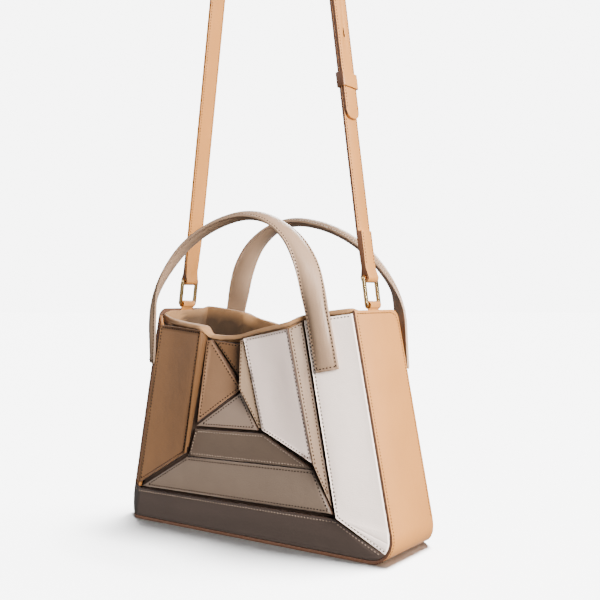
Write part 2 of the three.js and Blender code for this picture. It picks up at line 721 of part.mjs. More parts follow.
// The long strap starts round the left ring, passes over the arch and ends in a rounded tip on
// the outer face of the short strap.
function strapLong() {
  const mirrored = (p) => new THREE.Vector2(-p.x, p.y);
  const hole = mirrored(runLine(0, 0));
  const end = strapEnd().map(mirrored);
  const leftInner = archLine(archRadius - strapThickness / 2, -1);
  const leftOuter = archLine(archRadius + strapThickness / 2, -1);
  const rightInner = archLine(archRadius - strapThickness / 2, 1).reverse();
  const rightOuter = archLine(archRadius + strapThickness / 2, 1).reverse();
  const outline = [
    ...end,
    mirrored(runLine(patchLength + patchStep, -strapThickness)),
    ...leftInner,
    ...rightInner.slice(1),
    runLine(layerJoin, clearance),
    runLine(overlapTail, clearance),
    runLine(overlapTail, clearance + strapThickness),
    runLine(layerJoin, clearance + strapThickness),
    ...rightOuter.reverse(),
    ...leftOuter.reverse().slice(1),
    mirrored(runLine(patchLength + patchStep, 0)),
    mirrored(runLine(patchLength, 0)),
  ];
  const strap = acrossY(outline, strapWidth, [{ x: hole.x, y: hole.y, radius: loopHole }]);
  const drill = strapDrill(studLevel, studRadius + clearance);
  return sheared(cut(narrowed(strap), drill, keyhole(), ...tipCutters()));
}

// The adjusting slot: a round end and a narrow slit above it.
function keyhole() {
  const shape = new THREE.Shape();
  const radius = slotWidth / 2;
  const slit = radius * slitShare;
  shape.absarc(0, 0, radius, Math.PI * 0.85, Math.PI * 0.15 + Math.PI * 2, false);
  shape.lineTo(slit, slotLength - radius);
  shape.lineTo(-slit, slotLength - radius);
  const cutter = new THREE.ExtrudeGeometry(shape, { depth: drillReach, bevelEnabled: false, curveSegments: 6 });
  cutter.translate(0, 0, -drillReach / 2);
  cutter.applyMatrix4(ontoRunFace);
  const place = runLine(slotLevel, 0);
  return cutter.translate(place.x, 0, place.y);
}

// What rounds the two corners of the long strap's tip.
function tipCutters() {
  const reach = tipRadius * 2;
  return [1, -1].map((sign) => {
    const edge = strapWidth / 2;
    const shape = new THREE.Shape();
    shape.moveTo(edge + cutOver, -cutOver);
    shape.lineTo(edge + cutOver, tipRadius);
    shape.lineTo(edge, tipRadius);
    shape.absarc(edge - tipRadius, tipRadius, tipRadius, 0, -Math.PI / 2, true);
    shape.lineTo(edge - tipRadius, -cutOver);
    const cutter = new THREE.ExtrudeGeometry(shape, { depth: reach, bevelEnabled: false, curveSegments: 6 });
    cutter.translate(0, 0, -reach / 2);
    cutter.applyMatrix4(ontoRunFace);
    if (sign < 0) {
      cutter.applyMatrix4(new THREE.Matrix4().makeScale(1, -1, 1));
      flipTriangles(cutter);
    }
    const place = runLine(overlapTail, strapThickness / 2);
    return cutter.translate(place.x, 0, place.y);
  });
}

// Swaps two corners of every triangle, after a mirror has turned the faces inwards.
function flipTriangles(geometry) {
  const { array } = geometry.attributes.position;
  for (let i = 0; i < array.length; i += 9) {
    for (let k = 0; k < 3; k += 1) {
      [array[i + 3 + k], array[i + 6 + k]] = [array[i + 6 + k], array[i + 3 + k]];
    }
  }
}

// The keeper: a narrow loop round both layers.
function strapKeeper() {
  const inner = strapThickness * 2 + clearance * 2.5;
  const width = strapWidth + clearance * 2;
  const shape = roundedRectangle(inner + keeperWall * 2, width + keeperWall * 2, keeperRadius);
  shape.holes.push(roundedRectangle(inner, width, keeperRadius / 3));
  const keeper = new THREE.ExtrudeGeometry(shape, { depth: keeperHeight, bevelEnabled: false, curveSegments: 3 });
  keeper.applyMatrix4(new THREE.Matrix4().makeBasis(runOut, sideways, runUp));
  const place = runLine(keeperLevel, clearance / 2);
  keeper.translate(place.x, 0, place.y);
  return sheared(keeper);
}

function roundedRectangle(width, height, radius) {
  const shape = new THREE.Shape();
  const [x, y] = [width / 2, height / 2];
  shape.moveTo(x, -y + radius);
  shape.lineTo(x, y - radius);
  shape.absarc(x - radius, y - radius, radius, 0, Math.PI / 2, false);
  shape.lineTo(-x + radius, y);
  shape.absarc(-x + radius, y - radius, radius, Math.PI / 2, Math.PI, false);
  shape.lineTo(-x, -y + radius);
  shape.absarc(-x + radius, -y + radius, radius, Math.PI, Math.PI * 1.5, false);
  shape.lineTo(x - radius, -y);
  shape.absarc(x - radius, -y + radius, radius, Math.PI * 1.5, Math.PI * 2, false);
  return shape;
}

// The stud that joins the two straps: a post through both with a head on each side.
function strapStud() {
  const half = strapThickness + clearance;
  const profile = [
    [0, -half - studHeadHeight],
    [studHeadRadius * studFlat, -half - studHeadHeight],
    [studHeadRadius, -half - studHeadHeight * studRim],
    [studHeadRadius, -half],
    [studRadius, -half],
    [studRadius, half + clearance],
    [studHeadRadius, half + clearance],
    [studHeadRadius, half + clearance + studHeadHeight * studRim],
    [studHeadRadius * studFlat, half + clearance + studHeadHeight],
    [0, half + clearance + studHeadHeight],
  ];
  const stud = new THREE.LatheGeometry(profile.map(([x, y]) => new THREE.Vector2(x, y)), 12);
  stud.applyMatrix4(outOfRun);
  const place = runLine(studLevel, 0);
  stud.translate(place.x, 0, place.y);
  return sheared(stud);
}

// A flat rectangular ring that stands on its tab and leans with the strap.
function ring() {
  const shape = roundedRectangle(ringWidth, ringHeight, ringCornerRadius);
  shape.holes.push(roundedRectangle(ringWidth - ringBar * 2, ringHeight - ringBar * 2, ringCornerRadius / 3));
  const geometry = new THREE.ExtrudeGeometry(shape, { depth: ringDepth, bevelEnabled: false, curveSegments: 3 });
  geometry.translate(0, barSpan / 2, -ringDepth / 2);
  geometry.applyMatrix4(ontoRunFace);
  return geometry.translate(ringPivot.x, mountY, ringPivot.y);
}

// The leather tab that holds a ring: a loop round its lower bar, and a tail that is sewn between
// the gusset and the lining and slants as they do.
function ringTab() {
  const outer = loopHole + tabWall;
  const tail = (z, depth) => new THREE.Vector2(halfWidth(z) - (gussetWall + tabGap + depth) * slantFactor, z);
  const bottom = ringPivot.y - tabLength;
  const points = [tail(bodyHeight, 0), tail(bottom, 0), tail(bottom, tabWall), tail(bodyHeight, tabWall),
    ...loopPoints(tabLoop, outer, (x, y) => new THREE.Vector2(ringPivot.x + x, ringPivot.y + y))];
  const hole = { x: ringPivot.x, y: ringPivot.y, radius: loopHole };
  return acrossY(points, tabWidth, [hole]).translate(0, mountY, 0);
}

function piece(name, geometry, material, turned = false) {
  const mesh = new THREE.Mesh(geometry, material);
  mesh.name = name;
  mesh.rotation.z = turned ? Math.PI : 0;
  return mesh;
}

const bag = new THREE.Group();
bag.position.z = -(hangHeight - strapThickness / 2);
for (const [name, geometry, material] of panels) {
  bag.add(piece(`front_${name}`, geometry, material), piece(`back_${name}`, geometry, material, true));
}
bag.add(piece('gusset_band', gussetBand(), materials.tan));
bag.add(piece('lining', lining(), materials.suede));
const handleGeometry = handle();
bag.add(piece('handle_front', handleGeometry, materials.handle));
bag.add(piece('handle_back', handleGeometry, materials.handle, true));
const ringGeometry = ring();
bag.add(piece('ring_right', ringGeometry, materials.gold));
bag.add(piece('ring_left', ringGeometry, materials.gold, true));
const tabGeometry = ringTab();
bag.add(piece('ring_tab_right', tabGeometry, materials.tan));
bag.add(piece('ring_tab_left', tabGeometry, materials.tan, true));
bag.add(piece('strap_long', strapLong(), materials.tan));
bag.add(piece('strap_short', strapShort(), materials.tan));
bag.add(piece('strap_keeper', strapKeeper(), materials.tan));
bag.add(piece('strap_stud', strapStud(), materials.gold));

const group = new THREE.Group();
group.add(bag);

export default group;
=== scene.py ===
# %% [markdown]
# A small tote bag of leather panels that sit at different depths, like shallow steps, with two
# padded handles and a long strap. Here its fixed CAD frame is dressed in leather, suede and metal.
# Everything is in metres, and the origin is where the bag hangs, under the top of its strap.

# %% The frame
import json
import math

import bmesh
import bpy
from mathutils import Matrix, Vector
from mathutils.bvhtree import BVHTree

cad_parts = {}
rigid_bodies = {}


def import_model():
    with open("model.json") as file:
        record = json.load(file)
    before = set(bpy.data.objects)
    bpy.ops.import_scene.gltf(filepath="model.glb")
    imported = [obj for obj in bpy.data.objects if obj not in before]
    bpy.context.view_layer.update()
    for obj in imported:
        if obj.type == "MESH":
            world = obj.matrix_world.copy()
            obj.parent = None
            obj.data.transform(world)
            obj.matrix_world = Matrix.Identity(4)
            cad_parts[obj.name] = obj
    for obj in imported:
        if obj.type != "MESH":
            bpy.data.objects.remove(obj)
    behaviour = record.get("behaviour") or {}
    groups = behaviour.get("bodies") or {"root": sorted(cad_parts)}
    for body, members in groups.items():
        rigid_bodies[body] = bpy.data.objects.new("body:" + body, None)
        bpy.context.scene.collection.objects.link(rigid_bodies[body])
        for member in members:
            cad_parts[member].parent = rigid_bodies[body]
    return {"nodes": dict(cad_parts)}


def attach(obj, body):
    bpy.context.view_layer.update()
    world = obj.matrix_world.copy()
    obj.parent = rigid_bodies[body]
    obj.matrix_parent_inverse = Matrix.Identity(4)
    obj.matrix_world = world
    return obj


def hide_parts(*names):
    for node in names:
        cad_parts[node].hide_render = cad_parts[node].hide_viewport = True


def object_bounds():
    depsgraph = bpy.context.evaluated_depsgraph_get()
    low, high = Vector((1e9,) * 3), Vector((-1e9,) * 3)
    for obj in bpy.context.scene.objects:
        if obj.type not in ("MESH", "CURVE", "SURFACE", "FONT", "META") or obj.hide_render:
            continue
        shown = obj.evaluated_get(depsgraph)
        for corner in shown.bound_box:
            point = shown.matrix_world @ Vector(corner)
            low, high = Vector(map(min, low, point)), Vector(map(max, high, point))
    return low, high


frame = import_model()
cad_box = [list(corner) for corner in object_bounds()]
MM = 0.001
base_level = cad_box[0][2]

# The body's own sizes in millimetres: each side leans in by side_shift from the base to the rim.
body_height = 193
half_base = 147.5
side_shift = 37.5
base_corner = 20
rim_level = base_level + body_height * MM
print("the bag stands at", round(base_level, 4))

# %% [markdown]
# The camera comes first, because every later choice is judged through it. It was fitted to the
# corners of the body: a little to the right of the bag's front and almost level with its rim.

# %% The camera
camera_right, camera_front, camera_height = 0.46835, 0.62508, 0.20281
camera_tilt, camera_azimuth = 90 - 0.15, 35.05
bpy.ops.object.select_all(action="DESELECT")
bpy.ops.object.camera_add(
    location=(camera_right, -camera_front, base_level + camera_height),
    rotation=(math.radians(camera_tilt), 0, math.radians(camera_azimuth)),
)
camera = bpy.context.object
camera.name = "photo_camera"
camera.data.sensor_width = 36
camera.data.lens = 53.34
bpy.context.scene.camera = camera

# %% [markdown]
# The studio is one very wide sheet of pale paper inside an equally pale dome, so that no horizon
# shows. Neither is part of the bag. A disc with a few rings of faces is enough for the paper,
# because it stays flat. The dome is a ball cut off at the floor, and it glows evenly.

# %% The studio
paper_radius, paper_rim, paper_level = 12.5, 10, base_level - 0.0005
dome_radius, dome_cut, dome_strength = 12, base_level - 0.001, 6.9
bpy.ops.mesh.primitive_circle_add(
    vertices=64, radius=paper_radius, fill_type="NGON", location=(0, 0, paper_level)
)
studio = bpy.context.object
studio.name = "studio_paper"


def edit(piece):
    """Opens one piece in edit mode, with nothing else selected."""
    if bpy.context.object and bpy.context.object.mode == "EDIT":
        bpy.ops.object.mode_set(mode="OBJECT")
    bpy.ops.object.select_all(action="DESELECT")
    piece.select_set(True)
    bpy.context.view_layer.objects.active = piece
    bpy.ops.object.mode_set(mode="EDIT")
    bpy.ops.mesh.select_mode(type="FACE")
    bpy.ops.mesh.select_all(action="DESELECT")
    return bmesh.from_edit_mesh(piece.data)


def close(piece):
    """Leaves edit mode and puts the piece's place into its mesh."""
    if bpy.context.object.mode == "EDIT":
        bpy.ops.object.mode_set(mode="OBJECT")
    bpy.ops.object.transform_apply(location=True, rotation=True, scale=True)
    return piece


mesh = edit(studio)
for face in mesh.faces:
    face.select = True
bpy.ops.mesh.inset(thickness=paper_rim)
close(studio)

bpy.ops.mesh.primitive_uv_sphere_add(
    segments=48, ring_count=24, radius=dome_radius, location=(0, 0, base_level)
)
dome = bpy.context.object
dome.name = "studio_dome"
mesh = edit(dome)
for face in mesh.faces:
    face.select = True
bpy.ops.mesh.bisect(plane_co=(0, 0, dome_cut), plane_no=(0, 0, 1), clear_inner=True)
close(dome)
glow = bpy.data.materials.new("dome_glow")
glow.use_nodes = True
glow_nodes = glow.node_tree.nodes
glow_nodes.remove(glow_nodes["Principled BSDF"])
emission = glow_nodes.new("ShaderNodeEmission")
emission.inputs["Strength"].default_value = dome_strength
glow_out = glow_nodes["Material Output"]
glow.node_tree.links.new(emission.outputs["Emission"], glow_out.inputs["Surface"])
dome.data.materials.append(glow)

# %% [markdown]
# The bag's main light comes from the right, low and wide, with weaker lamps at the left and behind
# it, and a weak pale sky fills the rest. The paper is lit by a sun of its own, high above and a
# little behind the bag, which gives the soft dark contact shadow in front of it. Light linking
# keeps the two apart: it says which objects a lamp may light.

# %% The lights
sky_strength = 0.27
aim_height = 0.12
world = bpy.data.worlds.new("pale_sky")
world.use_nodes = True
sky = world.node_tree.nodes["Background"]
sky.inputs["Color"].default_value = (1, 1, 1, 1)
sky.inputs["Strength"].default_value = sky_strength
bpy.context.scene.world = world


def lamp(name, kind, azimuth, elevation, energy, distance=2.5, size=1.3):
    """A lamp that aims at the bag from an azimuth (0 is the front, 90 the right) and elevation.

    The energy is in watts, and for a sun in watts per square metre. The size is an area lamp's
    width in metres, or a sun's angle in degrees.
    """
    a, e = math.radians(azimuth), math.radians(elevation)
    back = Vector((math.sin(a) * math.cos(e), -math.cos(a) * math.cos(e), math.sin(e)))
    place = Vector((0, 0, base_level + aim_height)) + back * distance
    turn = back.to_track_quat("Z", "Y").to_euler()
    bpy.ops.object.light_add(type=kind, location=place, rotation=turn)
    light = bpy.context.object
    light.name = name
    light.data.energy = energy
    if kind == "AREA":
        light.data.size = size
    else:
        light.data.angle = math.radians(size)
    return light


key_lamp = lamp("key_lamp", "AREA", azimuth=65, elevation=18, energy=280)
side_lamp = lamp("side_lamp", "AREA", azimuth=98, elevation=20, energy=148)
fill_lamp = lamp("fill_lamp", "AREA", azimuth=-60, elevation=30, energy=22)
back_lamp = lamp("back_lamp", "AREA", azimuth=200, elevation=28, energy=110)
paper_lamp = lamp("paper_lamp", "SUN", azimuth=150, elevation=76, energy=26.6, size=24)
paper_only = bpy.data.collections.new("paper_only")
paper_only.objects.link(studio)
paper_lamp.light_linking.receiver_collection = paper_only
not_paper = bpy.data.collections.new("not_paper")
not_paper.objects.link(studio)
not_paper.collection_objects[0].light_linking.link_state = "EXCLUDE"
for light in (key_lamp, side_lamp, fill_lamp, back_lamp):
    light.light_linking.receiver_collection = not_paper
studio.visible_diffuse = False
studio.visible_glossy = False
dome.visible_diffuse = False
dome.visible_glossy = False
dome.visible_shadow = False

# %% [markdown]
# Smooth calf leather has a fine pebbled grain, a satin surface that is glossier in some places,
# and colour that drifts a little. One material maker builds all of this from noise and cells in
# Object coordinates, so the grain has its real size on every piece.

# %% Leather materials
# Features per metre, from clouds of colour down to pores, and how high the bumps stand, in metres.
cloud_scale, gloss_scale, wave_scale, cell_scale, pore_scale = 22, 160, 70, 1300, 900
wave_height, cell_height, pore_height = 0.0011, 0.00022, 0.00014


def colour_of(code):
    """Linear colour from a six-figure screen colour."""
    parts = [int(code[i:i + 2], 16) / 255 for i in (0, 2, 4)]
    return tuple(p / 12.92 if p <= 0.04045 else ((p + 0.055) / 1.055) ** 2.4 for p in parts) + (1,)


def new_material(name):
    material = bpy.data.materials.new(name)
    material.use_nodes = True
    tree = material.node_tree
    shader = tree.nodes["Principled BSDF"]
    coordinates = tree.nodes.new("ShaderNodeTexCoord")
    return material, tree, shader, coordinates.outputs["Object"]


def noise(tree, place, scale, detail=2.0, roughness=0.5):
    node = tree.nodes.new("ShaderNodeTexNoise")
    node.inputs["Scale"].default_value = scale
    node.inputs["Detail"].default_value = detail
    node.inputs["Roughness"].default_value = roughness
    tree.links.new(place, node.inputs["Vector"])
    return node.outputs["Fac"]


def between(tree, factor, low, high):
    """Maps a 0-1 value to low-high."""
    node = tree.nodes.new("ShaderNodeMapRange")
    node.inputs["To Min"].default_value = low
    node.inputs["To Max"].default_value = high
    tree.links.new(factor, node.inputs["Value"])
    return node.outputs["Result"]


def bump(tree, height, distance, strength=1.0, under=None):
    node = tree.nodes.new("ShaderNodeBump")
    node.inputs["Distance"].default_value = distance
    node.inputs["Strength"].default_value = strength
    tree.links.new(height, node.inputs["Height"])
    if under is not None:
        tree.links.new(under, node.inputs["Normal"])
    return node.outputs["Normal"]


def tinted(tree, factor, dark, light):
    """A colour ramp from a dark to a light tone."""
    ramp = tree.nodes.new("ShaderNodeValToRGB")
    ramp.color_ramp.elements[0].position = 0.3
    ramp.color_ramp.elements[1].position = 0.7
    ramp.color_ramp.elements[0].color = dark
    ramp.color_ramp.elements[1].color = light
    tree.links.new(factor, ramp.inputs["Fac"])
    return ramp.outputs["Color"]


def shade(colour, amount):
    return tuple(min(1, c * amount) for c in colour[:3]) + (1,)


def leather(name, code, gloss=0.46, drift=0.05):
    """Grained leather; gloss is its middle roughness, drift how far its colour wanders."""
    material, tree, shader, place = new_material(name)
    colour = colour_of(code)
    cloudy = noise(tree, place, cloud_scale, 3)
    tint = tinted(tree, cloudy, shade(colour, 1 - drift), shade(colour, 1 + drift))
    tree.links.new(tint, shader.inputs["Base Color"])
    satin = between(tree, noise(tree, place, gloss_scale, 3), gloss - 0.07, gloss + 0.09)
    tree.links.new(satin, shader.inputs["Roughness"])
    cells = tree.nodes.new("ShaderNodeTexVoronoi")
    cells.feature = "SMOOTH_F1"
    cells.inputs["Scale"].default_value = cell_scale
    cells.inputs["Smoothness"].default_value = 0.6
    tree.links.new(place, cells.inputs["Vector"])
    waves = bump(tree, noise(tree, place, wave_scale, 2), wave_height, 0.35)
    grain = bump(tree, cells.outputs["Distance"], cell_height, 0.45, waves)
    pores = bump(tree, noise(tree, place, pore_scale, 4, 0.6), pore_height, 0.4, grain)
    tree.links.new(pores, shader.inputs["Normal"])
    shader.inputs["Specular IOR Level"].default_value = 0.34
    shader.inputs["Sheen Weight"].default_value = 0.03
    shader.inputs["Sheen Roughness"].default_value = 0.5
    return material


tan_leather = leather("tan_leather", "A0682F")
white_leather = leather("white_leather", "F5E1D4", 0.5, 0.015)
# The inner white panel's copy of the white leather is darker: painted shade.
pearl_leather = leather("pearl_leather", "DEC8BC", 0.5, 0.02)
brown_leather = leather("brown_leather", "6E4D31")
# The small triangle's copy of the brown leather is darker: painted shade.
triangle_painted_shade = leather("triangle_brown_painted_shade", "5B3F27")
caramel_leather = leather("caramel_leather", "583B21")
# The corner panel's copy of the caramel leather is lighter: painted light.
corner_painted_light = leather("corner_caramel_painted_light", "94602F")
camel_leather = leather("camel_leather", "76573E")
sand_leather = leather("sand_leather", "A88A6E")
# The outer strip's copy of the sand leather is darker: painted shade.
outer_sand_painted_shade = leather("outer_sand_painted_shade", "836A54")
taupe_leather = leather("taupe_leather", "625245")
dark_taupe_leather = leather("dark_taupe_leather", "3B302A")
# The step triangle's copy of the taupe leather is lighter: painted light.
step_painted_light = leather("step_taupe_painted_light", "766253")
# The riser's copy of the dark taupe leather is lighter: painted light.
riser_painted_light = leather("riser_taupe_painted_light", "544539")
handle_leather = leather("handle_leather", "8A6F58", 0.4)

# %% [markdown]
# Cut leather edges are painted a darker brown, and the gaps between the panels show the dark
# backing behind them, whose colour is partly a real backing and partly painted shade in the gaps.
# Both are matt leathers, made by the same function. The gusset's rims and the strap's edges have
# browns of their own.

# %% Edge paint, backing and thread
edge_paint = leather("edge_paint", "4A3324", 0.5, 0.08)
rim_edge = leather("rim_edge", "4C3122", 0.5, 0.08)
strap_edge = leather("strap_edge", "4A2C19", 0.5, 0.08)
# The backing's dark colour is partly painted shade in the gaps between panels.
backing_and_gap_shade = leather("gap_backing_and_shade", "3A2A1F", 0.7, 0.1)
fibre_scale, ply_scale, ply_height = 700, 420, 0.0001


def thread(name, code):
    """Waxed thread: two plies that show as fine slanted ridges."""
    material, tree, shader, place = new_material(name)
    colour = colour_of(code)
    fibres = noise(tree, place, fibre_scale, 2)
    tint = tinted(tree, fibres, shade(colour, 0.86), shade(colour, 1.08))
    tree.links.new(tint, shader.inputs["Base Color"])
    plies = tree.nodes.new("ShaderNodeTexWave")
    plies.bands_direction = "DIAGONAL"
    plies.inputs["Scale"].default_value = ply_scale
    tree.links.new(place, plies.inputs["Vector"])
    tree.links.new(bump(tree, plies.outputs["Fac"], ply_height, 0.5), shader.inputs["Normal"])
    shader.inputs["Roughness"].default_value = 0.8
    shader.inputs["Specular IOR Level"].default_value = 0.12
    return material


# The dark threads are darker than the thread itself: their colour also holds the painted shade of
# the stitch holes.
brown_thread = thread("brown_thread", "1C100A")
grey_thread = thread("grey_thread", "4E4038")
sand_thread = thread("sand_thread", "3C2A1D")
taupe_thread = thread("taupe_thread", "1C1510")
ash_thread = thread("ash_thread", "7E6D5F")
caramel_thread = thread("caramel_thread", "7A4E2A")
tan_thread = thread("tan_thread", "1E0F08")
handle_thread = thread("handle_thread", "20150E")

# %% [markdown]
# The studio's paper is matt and pale, with a drift of tone that is almost too weak to see.

# %% The studio's paper
paper, paper_tree, paper_shader, paper_place = new_material("studio_paper")
paper_dark, paper_light = (0.89, 0.89, 0.89, 1), (0.9, 0.9, 0.9, 1)
paper_tint = tinted(paper_tree, noise(paper_tree, paper_place, 3), paper_dark, paper_light)
paper_tree.links.new(paper_tint, paper_shader.inputs["Base Color"])
paper_shader.inputs["Roughness"].default_value = 0.9
studio.data.materials.append(paper)

# %% [markdown]
# The inside is soft suede: matt, brushed in cloudy patches, with a fine nap and a faint sheen. Its
# lip is painted paler than its depths, by a value that each point of the lining carries: painted
# light on the lip and painted shade down inside. The metal is a pale polished gold with light
# scuffs.

# %% Suede and metal
brush_scale, fold_scale, nap_scale = 60, 45, 2200
fold_height, nap_height = 0.002, 0.0002


def suede(name, code, painted_lip_light):
    material, tree, shader, place = new_material(name)
    colour = colour_of(code)
    painted_lip_colour = colour_of(painted_lip_light)
    brushed = noise(tree, place, brush_scale, 4, 0.6)
    deep = tinted(tree, brushed, shade(colour, 0.84), shade(colour, 1.12))
    pale = tinted(tree, brushed, shade(painted_lip_colour, 0.86), shade(painted_lip_colour, 1.12))
    # The lining's own value mixes the depths' painted shade with the lip's painted light.
    rim = tree.nodes.new("ShaderNodeAttribute")
    rim.attribute_name = "painted_lip_light"
    lip_light_mix = tree.nodes.new("ShaderNodeMix")
    lip_light_mix.data_type = "RGBA"
    tree.links.new(rim.outputs["Fac"], lip_light_mix.inputs[0])
    tree.links.new(deep, lip_light_mix.inputs[6])
    tree.links.new(pale, lip_light_mix.inputs[7])
    tree.links.new(lip_light_mix.outputs[2], shader.inputs["Base Color"])
    folds = bump(tree, noise(tree, place, fold_scale, 2), fold_height, 0.4)
    nap = bump(tree, noise(tree, place, nap_scale, 3, 0.7), nap_height, 0.6, folds)
    tree.links.new(nap, shader.inputs["Normal"])
    shader.inputs["Roughness"].default_value = 0.95
    shader.inputs["Specular IOR Level"].default_value = 0.15
    shader.inputs["Sheen Weight"].default_value = 0.12
    shader.inputs["Sheen Roughness"].default_value = 0.6
    shader.inputs["Sheen Tint"].default_value = (0.95, 0.85, 0.74, 1)
    return material


# Its dark tone is the depths' painted shade, and its paler tone is the lip's painted light.
lining_suede = suede("lining_suede", "402D1B", "8C6642")
scuff_scale, scratch_scale, scratch_height = 900, 1500, 0.00003


def polished(name, code):
    material, tree, shader, place = new_material(name)
    colour = colour_of(code)
    tint = tinted(tree, noise(tree, place, 120, 3), shade(colour, 0.95), shade(colour, 1.04))
    tree.links.new(tint, shader.inputs["Base Color"])
    scuffs = between(tree, noise(tree, place, scuff_scale, 4, 0.65), 0.16, 0.3)
    tree.links.new(scuffs, shader.inputs["Roughness"])
    scratches = bump(tree, noise(tree, place, scratch_scale, 2), scratch_height, 0.3)
    tree.links.new(scratches, shader.inputs["Normal"])
    shader.inputs["Metallic"].default_value = 1
    return material


gold = polished("pale_gold", "E9C88C")

# %% [markdown]
# Each leather piece starts as a copy of its CAD solid, whose loose triangles are merged, because
# only a joined mesh can be bevelled. The copy then stands for the solid, which stays out of sight.

# %% Copies of the CAD solids
merge_distance = 0.00002


def copied(node, name, material):
    bpy.ops.object.select_all(action="DESELECT")
    piece = bpy.data.objects.new(name, frame["nodes"][node].data.copy())
    bpy.context.scene.collection.objects.link(piece)
    piece.data.materials.clear()
    piece.data.materials.append(material)
    for polygon in piece.data.polygons:
        polygon.material_index = 0
    edit(piece)
    bpy.ops.mesh.select_all(action="SELECT")
    bpy.ops.mesh.remove_doubles(threshold=merge_distance)
    bpy.ops.object.mode_set(mode="OBJECT")
    return piece


def finish_piece(piece, slot, *nodes, angle=40):
    """Smooth shading, the body it rides on and the solids it stands for. The slot is not used."""
    if bpy.context.object.mode == "EDIT":
        bpy.ops.object.mode_set(mode="OBJECT")
    bpy.ops.object.select_all(action="DESELECT")
    piece.select_set(True)
    bpy.context.view_layer.objects.active = piece
    bpy.ops.object.shade_smooth_by_angle(angle=math.radians(angle))
    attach(piece, "root")
    if nodes:
        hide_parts(*nodes)
    return piece


def apply_modifier(piece, kind, **settings):
    bpy.ops.object.select_all(action="DESELECT")
    piece.select_set(True)
    bpy.context.view_layer.objects.active = piece
    bpy.ops.object.modifier_add(type=kind)
    modifier = piece.modifiers[-1]
    for key, value in settings.items():
        setattr(modifier, key, value)
    bpy.ops.object.modifier_apply(modifier=modifier.name)


# %% [markdown]
# A stitch is a short, fat, slightly bowed bit of thread whose ends dive into the leather. It is
# modelled once from a cylinder, and each row copies it along a line that is laid on the surface
# by casting a ray at the piece, so the thread always lies on the leather.

# %% The stitch and its rows
bpy.ops.object.select_all(action="DESELECT")
stitch_sides = 6
stitch_width = 0.00095
stitch_share = 0.52
stitch_flatness, stitch_lift, stitch_dive = 0.8, 0.14, 0.25
cast_from, cast_reach = 0.006, 0.03
bpy.ops.mesh.primitive_cylinder_add(
    vertices=stitch_sides, radius=0.5, depth=1, end_fill_type="NGON", rotation=(0, math.pi / 2, 0)
)
stitch = bpy.context.object
stitch.name = "stitch_pattern"
mesh = edit(stitch)
for face in mesh.faces:
    face.select = len(face.verts) == stitch_sides
bpy.ops.mesh.bevel(offset=0.22, segments=2, affect="EDGES")
close(stitch)
stitch_points = [vertex.co.copy() for vertex in stitch.data.vertices]
stitch_faces = [tuple(polygon.vertices) for polygon in stitch.data.polygons]
bpy.data.objects.remove(stitch)
print("faces of one stitch:", len(stitch_faces))


def row_places(surface, path, pitch):
    """Places along a path of (point, outward) pairs, each dropped on to the surface by a ray."""
    places, walked = [], pitch / 2
    for (start, out_a), (end, out_b) in zip(path, path[1:]):
        length = (end - start).length
        along = (end - start).normalized()
        while walked < length:
            outward = out_a.lerp(out_b, walked / length).normalized()
            above = start + along * walked + outward * cast_from
            hit, normal, _, _ = surface.ray_cast(above, -outward, cast_reach)
            if hit is not None:
                places.append((hit, normal, along, pitch))
            walked += pitch
        walked -= length
    return places


def stitches(name, places, material, slot, width=stitch_width):
    """One mesh with a stitch at each place."""
    points, faces = [], []
    for hit, normal, along, pitch in places:
        side = normal.cross(along).normalized()
        forward = side.cross(normal).normalized()
        turn = Matrix((forward, side, normal)).transposed()
        first = len(points)
        for point in stitch_points:
            sized = Vector((
                point.x * pitch * stitch_share,
                point.y * width,
                point.z * width * stitch_flatness,
            ))
            sized.z += width * (stitch_lift - stitch_dive * (2 * point.x) ** 2)
            points.append(hit + turn @ sized)
        faces.extend(tuple(first + i for i in face) for face in stitch_faces)
    data = bpy.data.meshes.new(name)
    data.from_pydata(points, [], faces)
    data.materials.append(material)
    row = bpy.data.objects.new(name, data)
    bpy.context.scene.collection.objects.link(row)
    bpy.context.view_layer.objects.active = row
    return finish_piece(row, slot, angle=60)


def surface_of(piece):
    return BVHTree.FromObject(piece, bpy.context.evaluated_depsgraph_get())


# %% [markdown]
# A panel is stretched over a stiffener: its edges are turned over and round, and its face is
# slightly crowned. The front of the copied solid is bevelled all round, divided into a fine net,
# relaxed in depth until no crease is left across it, and then raised a little all over but for its
# edges. The three curled panels are also hollowed between their left and right sides, so that the
# light falls off across them.

# %% Panels
seam_inset, narrow_inset = 2.1 * MM, 1.4 * MM
panel_pitch = 3.0 * MM
crown_run = 7 * MM
net_smoothing, crown_smoothing = 80, 14
seam_slack, seam_step = 0.97, 0.5 * MM
# How squarely a face looks outwards to be part of the front, and to be leather and not edge paint.
front_limit, leather_limit = 0.6, 0.3
# A corner's move as a multiple of its sides' move, and the sharpest corner that is moved in full.
longest_move, sharpest_corner = 1.8, 0.3


def outline_of(faces):
    """The corners round a group of faces, in order."""
    following = {}
    chosen = set(faces)
    for face in faces:
        for loop in face.loops:
            if not any(other in chosen and other is not face for other in loop.edge.link_faces):
                following[loop.vert] = loop.link_loop_next.vert
    start = next(iter(following))
    ring, vertex = [start.co.copy()], following[start]
    while vertex is not start:
        ring.append(vertex.co.copy())
        vertex = following[vertex]
    return ring


def edge_distance(point, ring, flat):
    """Distance from a point to the nearest side of an outline, seen along the flat direction."""
    best = 1.0
    p = point - flat * point.dot(flat)
    for a, b in zip(ring, tuple(ring[1:]) + tuple(ring[:1])):
        q, r = a - flat * a.dot(flat), b - flat * b.dot(flat)
        side = r - q
        share = max(0, min(1, (p - q).dot(side) / max(side.length_squared, 1e-12)))
        best = min(best, (p - q - side * share).length)
    return best


def facing(mesh, outward):
    return [face for face in mesh.faces if face.normal.dot(outward) > front_limit]


